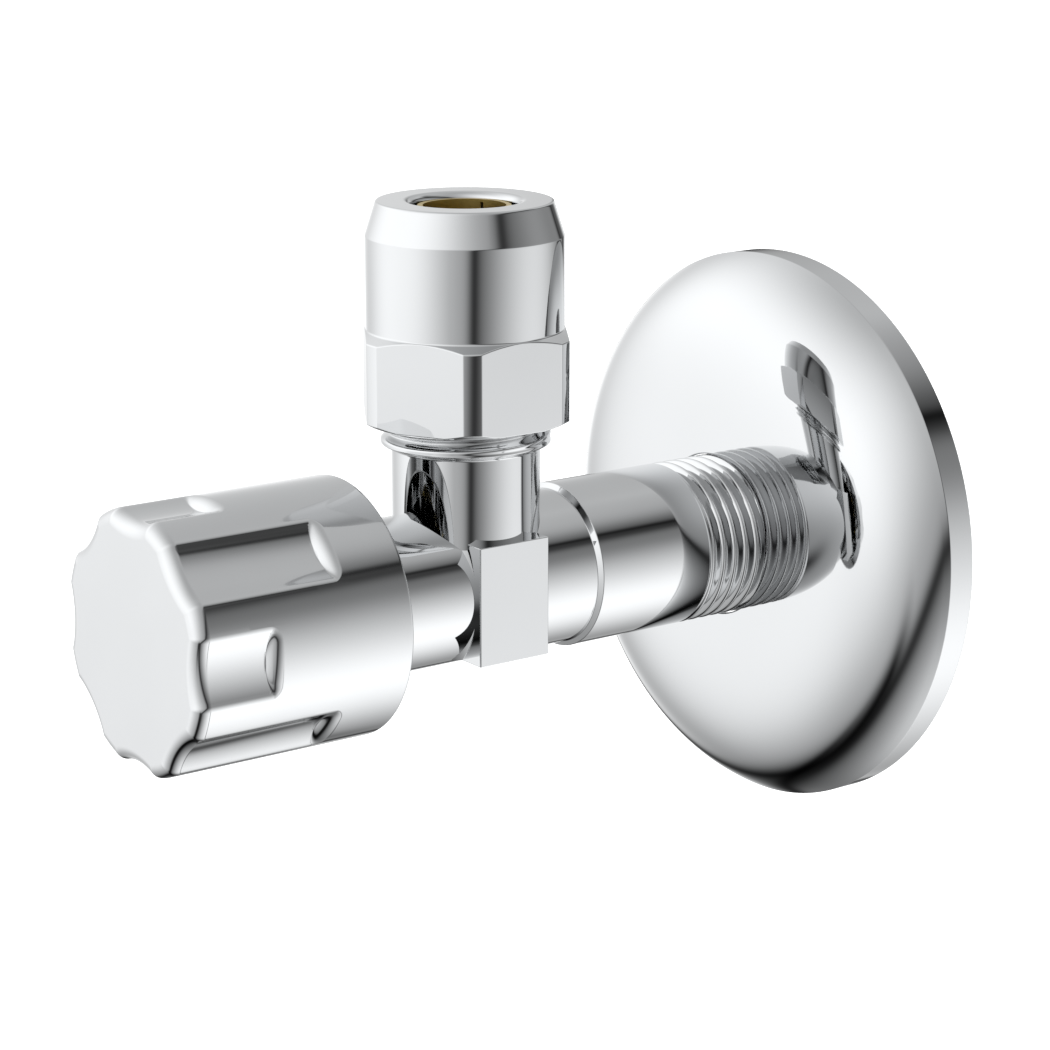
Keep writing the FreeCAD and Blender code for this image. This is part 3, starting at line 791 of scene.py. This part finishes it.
def flute_angles():
    """Half-widths of a flute: where its own arc ends, and where the round beside it ends.

    Both follow from the triangle of the knob's axis and the centres of the two arcs, by the cosine rule.
    """
    heart, middle, span = knob_r - flute_depth + flute_r, knob_r - flute_blend, flute_r + flute_blend
    half = math.acos((middle ** 2 + heart ** 2 - span ** 2) / (2 * middle * heart))
    x = heart + (middle * math.cos(half) - heart) * flute_r / span
    return math.atan2(middle * math.sin(half) * flute_r / span, x), half


def fluted_outline(angle, spacing):
    """Radius of the knob with a flute at every `spacing`: flute arc, round, then the full circle."""
    fold = folded(angle, spacing)
    joint, half = flute_angles()
    hollow = arc_reach(knob_r - flute_depth + flute_r, flute_r, fold, side=-1)
    bend = arc_reach(knob_r - flute_blend, flute_blend, fold - half)
    return np.where(fold < joint, hollow, np.where(fold < half, bend, knob_r))


def knob_angles():
    """Column angles: eight sectors, closest together on the rounds beside a flute."""
    joint, half = flute_angles()
    hollow_steps, round_steps, land_steps = 12, 7, 5
    run = np.concatenate([np.linspace(0, joint, hollow_steps, endpoint=False),
                          np.linspace(joint, half, round_steps, endpoint=False),
                          np.linspace(half, flute_spacing / 2, land_steps)])
    sector = np.concatenate([-run[-2::-1], run[1:]])
    return (sector[None] + np.arange(flute_count)[:, None] * flute_spacing).ravel()


print("knob outline of", len(knob_angles()), "columns")

# %% Sides of the knob
fillet_share = 0.6
shoulder_start = math.radians(6)
shoulder_rows = 28
before_shoulder, behind_shoulder = np.array([-0.3, -0.03]), np.array([0.04, 0.3])
first_rows = np.array([0.05, 0.4, 2.0, 5.0])
middle_rows = np.array([12.5, 16.0])
last_rows = np.array([1.0, 4.0])


def soft_maximum(a, b, reach):
    """The larger of two arrays, raised by (reach - difference) squared / (4 reach) where they are close."""
    near = np.maximum(reach - np.abs(a - b), 0)
    return np.maximum(a, b) + near ** 2 / np.maximum(4 * reach, 1e-9)


def end_setback(angle, middle):
    """How far a flute's end draws forward beside its middle: r - sqrt(r * r - s * s), s over its last r."""
    fold = folded(angle - middle, 2 * flute_spacing)
    aside = np.clip(knob_r * (fold - flute_angles()[1]) + flute_end_r, 0, flute_end_r)
    return flute_end_r - np.sqrt(flute_end_r ** 2 - aside ** 2)


def knob_side(angle):
    """Rows of the fluted side. Behind a flute's end the radius is upper - e + sqrt(e * e - (e - d) ** 2).

    There e is the rounding of the edge and d the way past the end, up to e.
    """
    every = fluted_outline(angle, flute_spacing)
    long_only = fluted_outline(angle + flute_spacing, 2 * flute_spacing)
    plain = np.full_like(angle, knob_r)
    shoulder = knob_edge * (1 - np.cos(np.linspace(shoulder_start, np.pi / 2, shoulder_rows)))
    shoulder = np.concatenate([before_shoulder, shoulder, knob_edge + behind_shoulder])[:, None]
    short_end = knob_front + short_flute - end_setback(angle, 0.0)
    long_end = knob_front + long_flute - end_setback(angle, flute_spacing)
    start = knob_front + knob_edge + first_rows[:, None] + 0 * angle
    between = knob_front + middle_rows[:, None] + 0 * angle
    last = knob_front + long_flute + knob_edge + last_rows[:, None] + 0 * angle
    depth = np.concatenate([start, short_end + shoulder, between, long_end + shoulder, last])
    radius = np.broadcast_to(every, depth.shape)
    for lower, upper, end in ((every, long_only, short_end), (long_only, plain, long_end)):
        into = np.clip(depth - end, 0, knob_edge)
        arc = upper - knob_edge + np.sqrt(knob_edge ** 2 - (knob_edge - into) ** 2)
        fillet = fillet_share * (upper - lower) / flute_depth
        radius = np.where(depth > end, soft_maximum(lower + 0 * arc, arc, fillet), radius)
    return np.stack(np.broadcast_arrays(radius, depth), axis=-1)


print("flutes end", short_flute, "and", long_flute, "mm behind the front")

# %% Front and back of the knob
front_rows = 24
inner_shares = np.array([0.05, 0.4, 0.8, 0.97, 0.995])
back_taper = 3.0


def knob_face(angle):
    """Rows of the front: from the pole outwards, then the edge, edge * (1 - sine) in from the fluted rim.

    The slope is taken over five degrees, which keeps the inset from folding where the outline bends.
    """
    every = fluted_outline(angle, flute_spacing)
    near = 0.045
    before, after = (fluted_outline(angle + way, flute_spacing) for way in (-near, near))
    slope = (after - before) / (2 * near)
    rim = np.stack([every * np.cos(angle), every * np.sin(angle)], axis=-1)
    normal = unit(np.stack([every * np.cos(angle) + slope * np.sin(angle),
                            every * np.sin(angle) - slope * np.cos(angle)], axis=-1))
    turn = np.linspace(0, np.pi / 2, front_rows)[:, None, None]
    edge = rim - normal * knob_edge * (1 - np.sin(turn))
    edge_depth = np.broadcast_to(knob_front + knob_edge * (1 - np.cos(turn)), edge[..., :1].shape)
    inner = edge[0] * inner_shares[:, None, None]
    inner_depth = np.full(inner[..., :1].shape, knob_front)
    return np.concatenate([np.concatenate([inner, inner_depth], -1), np.concatenate([edge, edge_depth], -1)])


def knob_points():
    """Front face, rounded edge, flutes with their shoulders, back edge and the hollow, pole to pole."""
    angle = knob_angles()
    hollow_r, floor = knob_r - knob_wall, knob_front + knob_floor_wall
    back = rounded([(0.5, knob_back, 0), (knob_r, knob_back - back_taper, 0), (knob_r, knob_back, 0.3),
                    (hollow_r, knob_back, 0.3), (hollow_r, floor, 0.5), (0.5, floor, 0)])[2:]
    side, back = turned_points(knob_side(angle), angle), turned_points(back, angle)
    return np.concatenate([knob_face(angle), side, back])


knob_grid = about_inlet(turn_about_z(knob_points(), knob_off_square))
stand_in("knob_shell", grid_mesh(knob_grid, ring=False), "knob")

# %% [markdown]
# ### Hub and ribs
# Behind, the cap is hollow. A hub takes the toothed insert, and four ribs hold it in the middle. They are
# moulded in one with the cap, so they are sunk a little into its floor and wall. A rib is a flat bar: an
# outline with rounded corners, drawn in at both ends by a small round.

# %% Add the hub and the ribs
hub_r = 7.4
hub_bore_r = 5.55
hub_length = 10.15
rib_thickness = 1.4
rib_height = 8.85
rib_count = 4
hub_columns = 128
bar_turn_steps = 7
end_insets = [1.3, 1.03]
side_rise = 1.15
sunk = 0.3


def bar_points(outline, low, high, edge):
    """A bar about Z with rounded ends: edge * (1 - cosine) from an end it is edge * (1 - sine) smaller."""
    tangent = np.roll(outline, -1, axis=0) - np.roll(outline, 1, axis=0)
    normal = unit(np.stack([tangent[:, 1], -tangent[:, 0]], axis=-1))
    turn = np.linspace(0, np.pi / 2, bar_turn_steps)
    side = np.concatenate([end_insets, 1 - np.sin(turn), [0.0]])
    rise = edge * np.concatenate([[0, 0], 1 - np.cos(turn), [side_rise]])
    inset = edge * np.concatenate([side, side[::-1]])
    height = np.concatenate([low + rise, high - rise[::-1]])
    flat = outline[None] - normal[None] * inset[:, None, None]
    return np.concatenate([flat, np.broadcast_to(height[:, None, None], flat[..., :1].shape)], axis=-1)


hub_floor = knob_front + knob_floor_wall
hub_profile = rounded([
    (hub_bore_r, hub_floor - sunk, 0), (hub_r, hub_floor - sunk, 0), (hub_r, hub_floor + hub_length, 0.25),
    (hub_bore_r, hub_floor + hub_length, 0.25)])
hub_points = about_inlet(turned_points(hub_profile, column_angles(hub_columns)))
stand_in("knob_hub", grid_mesh(hub_points), "knob")
rib_outline = rounded([
    (hub_r - sunk, -rib_thickness / 2, 0.2), (knob_r - knob_wall + sunk, -rib_thickness / 2, 0.2),
    (knob_r - knob_wall + sunk, rib_thickness / 2, 0.2), (hub_r - sunk, rib_thickness / 2, 0.2)])[:, 0]
rib_bar = bar_points(rib_outline, hub_floor - sunk, hub_floor + rib_height, 0.15)
for i in range(rib_count):
    rib = about_inlet(turn_about_z(rib_bar, i * 2 * np.pi / rib_count + knob_off_square))
    stand_in(f"knob_rib_{i + 1}", grid_mesh(rib, ring=False), "knob")

# %% [markdown]
# ## The valve body
# The body is one forging, machined where it has to fit. Four simple solids make its outside: the inlet with
# its pipe thread, the upright outlet with the nut's thread, a round middle and a flat pad. A thread is a
# turned surface whose radius also falls and rises with the angle, so that its groove moves on by one pitch
# a turn. The four shells are joined and the bores are cut with Blender's manifold solver. Where two shells
# meet, it leaves thin triangles, and a mirror would show each of them. So every shell stores its smooth
# normals as an attribute first, the solver carries that along, and it becomes the normals of the result.

# %% Sizes of the body's outside
neck_r = 9.55
neck_length = -21.4
inlet_r = 9.8
shoulder_at = 13.1
shoulder_length = 0.45
thread_start = 30.5
tail_end = body_high[1] - axis_y
tail_chamfer = 0.9
outlet_r = 9.15
outlet_thread_low = 17.9
outlet_thread_step = 0.5
outlet_top = body_high[2]
drum_arc_r = 13.2
drum_r = -body_low[0]
drum_foot = 7.9
drum_top = 7.05
pad_x = 10.28
pad_half_width = 5.12
pad_top = 7.02
drum_rows, drum_columns = 61, 192
drum_pad_gap = 0.05
print("tail ends", round(tail_end - shoulder_at, 2), "mm behind the shoulder")

# %% Threads and turned solids
thread_pitch = 1.814
thread_depth = 1.16
thread_round_r = 0.1373 * thread_pitch
flank_angle = math.radians(27.5)
thread_support = np.array([0.12, 0.02])
run_out = 5.0
axis_gap = 0.4
body_columns = 128
samples_per_pitch = 18


def threaded(profile, angle, low, high, phase, fade):
    """Cut a right-handed thread into the rows of a turned profile between two heights.

    The way u from the nearest crest follows from the height in pitches less the angle in turns. A straight
    flank joins an arc on the crest, r - sqrt(r * r - u * u), to the same arc in the root. The groove grows
    from nothing to full over `fade` past the low end.
    """
    radius, height, angle = np.broadcast_arrays(profile[..., 0], profile[..., 1], angle[None])
    turn = height / thread_pitch - angle / (2 * np.pi) - phase
    way = (0.5 - np.abs(turn % 1 - 0.5)) * thread_pitch
    reach = thread_round_r * math.cos(flank_angle)
    short = np.minimum(np.minimum(way, thread_pitch / 2 - way), reach)
    arc = thread_round_r - np.sqrt(thread_round_r ** 2 - short ** 2)
    flank = thread_depth / 2 + (way - thread_pitch / 4) / math.tan(flank_angle)
    groove = np.where(way < reach, arc, np.where(way > thread_pitch / 2 - reach, thread_depth - arc, flank))
    grown = np.clip((height - low) / fade, 0, 1)
    inside = (height > low) & (height <= high)
    cut = groove * grown ** 2 * (3 - 2 * grown) * inside
    floor = np.minimum(radius, thread_r - thread_depth)
    return np.stack([np.minimum(radius, np.maximum(radius - cut, floor)), height], axis=-1)


def solid_points(corners, thread=None):
    """A turned solid from pole to pole: the corners, with a first and a last one near the axis.

    Between the ends of a thread the profile's rows give way to `samples_per_pitch` rows for each pitch.
    """
    profile = rounded([(axis_gap, corners[0][1], 0), *corners, (axis_gap, corners[-1][1], 0)])
    angle = column_angles(body_columns)
    if thread:
        low, high, phase, fade = thread
        count = int((high - low) / thread_pitch * samples_per_pitch)
        rows = low + (high - low) * np.arange(count + 1) / count
        rows = np.concatenate([low - thread_support, rows])
        extra = np.stack([np.full(len(rows), thread_r), rows], axis=-1)[:, None]
        before = profile[:, 0, 1] < rows[0]
        first_after = int(np.argmax(profile[:, 0, 1] > high))
        last_before = int(np.nonzero(before[:first_after])[0].max()) + 1
        profile = np.concatenate([profile[:last_before], extra, profile[first_after:]])
        profile = threaded(profile, angle, low, high + run_out, phase, fade)
    return turned_points(profile, angle)


print("thread pitch", thread_pitch, "depth", thread_depth)

# %% The four outer shells
inlet_phase, inlet_fade = 0.21, 0.9
outlet_phase, outlet_fade = 0.337, 1.2
thread_margin = 0.01
outlet_chamfer = 0.5
outlet_thread_lead = 0.2
inlet_thread_end = tail_end - tail_chamfer - thread_margin
outlet_thread_start = outlet_thread_low + outlet_thread_lead
outlet_thread_end = outlet_top - outlet_chamfer - thread_margin
inlet_shell = about_inlet(solid_points([
    (neck_r, neck_length, 0.2), (neck_r, 0, 0.1), (inlet_r, 0, 0.1), (inlet_r, shoulder_at, 0.12),
    (thread_r, shoulder_at + shoulder_length, 0.15), (thread_r, tail_end - tail_chamfer, 0),
    (thread_r - tail_chamfer, tail_end, 0.15)],
    thread=(thread_start, inlet_thread_end, inlet_phase, inlet_fade)))
outlet_shell = about_outlet(solid_points([
    (outlet_r, 0, 0.1), (outlet_r, outlet_thread_low - outlet_thread_step, 0.25),
    (thread_r, outlet_thread_low, 0.25), (thread_r, outlet_top - outlet_chamfer, 0),
    (thread_r - outlet_chamfer, outlet_top, 0.1)],
    thread=(outlet_thread_start, outlet_thread_end, outlet_phase, outlet_fade)))


def drum_points():
    """Round middle: the drum's radius less a, plus sqrt(a * a - h * h), held under the pad's face.

    There a is the radius of the arc along its side and h the height.
    """
    height = np.linspace(-drum_foot, drum_top, drum_rows)
    radius = drum_r - drum_arc_r + np.sqrt(drum_arc_r ** 2 - height ** 2)
    corners = [(axis_gap, -drum_foot, 0), (radius[0], height[0], 0.2),
               *((r, h, 0) for r, h in zip(radius[1:-1], height[1:-1])),
               (radius[-1], drum_top, 0.1), (axis_gap, drum_top, 0)]
    points = turned_points(rounded(corners), column_angles(drum_columns))
    points[..., 0] = np.minimum(points[..., 0], pad_x - drum_pad_gap)
    return about_outlet(points)


pad_outline = rounded([(0, -pad_half_width, 0.1), (pad_x, -pad_half_width, 0.14),
                       (pad_x, pad_half_width, 0.14), (0, pad_half_width, 0.1)])[:, 0]
pad_shell = about_outlet(bar_points(pad_outline, -drum_foot, pad_top, 0.1))
outside = [inlet_shell, outlet_shell, drum_points(), pad_shell]
print("outer shells", [points.shape[:2] for points in outside])

# %% [markdown]
# ### The bores
# One bore runs from the neck to the tail: the room for the headwork, the chamber of the valve cone with the
# raised seat at its end, and the waterway, which widens into the tail. The other rises from it to the
# socket where the supply tube stops, and to the cone for its seal.

# %% The two bores
headwork_r, headwork_end = 7.95, -10.4
chamber_r, chamber_end = 7.4, 6.2
seat_rim_r, seat_at = 5.0, 5.2
waterway_r, waterway_end = 4.2, 9.2
tail_bore_r, tail_bore_start = 6.5, 11.5
socket_r, socket_low, socket_top = 5.25, 24.0, 31.4
seal_cone_r, seal_cone_top = 8.3, 36.0
riser_low = 0.5
past_end = 1.0
waterway_shell = about_inlet(solid_points([
    (headwork_r, neck_length - past_end, 0.1), (headwork_r, headwork_end, 0.1),
    (chamber_r, headwork_end, 0.1), (chamber_r, chamber_end, 0.2), (seat_rim_r, chamber_end, 0.1),
    (seat_rim_r, seat_at, 0.1), (waterway_r, seat_at, 0.15), (waterway_r, waterway_end, 0.2),
    (tail_bore_r, tail_bore_start, 0.2), (tail_bore_r, tail_end + past_end, 0.1)]))
riser_shell = about_outlet(solid_points([
    (waterway_r, riser_low, 0.1), (waterway_r, socket_low, 0.1), (socket_r, socket_low, 0.2),
    (socket_r, socket_top, 0.2), (seal_cone_r, seal_cone_top, 0.1),
    (seal_cone_r, seal_cone_top + past_end, 0.1)]))
print("bores", [points.shape[:2] for points in (waterway_shell, riser_shell)])


# %% Join and cut the body
def carved(joined, removed):
    """Join closed shells, cut others out, and keep every shell's own smooth normals."""
    things = []
    for points, sign in [(p, 1) for p in joined] + [(p, -1) for p in removed]:
        mesh = grid_mesh(points, ring=False)
        normals = np.empty(len(mesh.loops) * 3, np.float32)
        mesh.corner_normals.foreach_get("vector", normals)
        kept = mesh.attributes.new("kept_normal", "FLOAT_VECTOR", "CORNER")
        kept.data.foreach_set("vector", sign * normals)
        things.append(piece("shell", mesh))
    for i, thing in enumerate(things[1:]):
        step = things[0].modifiers.new("step", "BOOLEAN")
        step.object = thing
        step.solver = "MANIFOLD"
        step.operation = "UNION" if i + 1 < len(joined) else "DIFFERENCE"
    graph = bpy.context.evaluated_depsgraph_get()
    mesh = bpy.data.meshes.new_from_object(things[0].evaluated_get(graph))
    for thing in things:
        bpy.data.objects.remove(thing)
    kept = mesh.attributes["kept_normal"]
    normals = np.empty(len(mesh.loops) * 3, np.float32)
    kept.data.foreach_get("vector", normals)
    mesh.attributes.remove(kept)
    mesh.shade_smooth()
    mesh.normals_split_custom_set(unit(normals.reshape(-1, 3)).tolist())
    return mesh


stand_in("body_shell", carved(outside, [waterway_shell, riser_shell]), "valve_body")
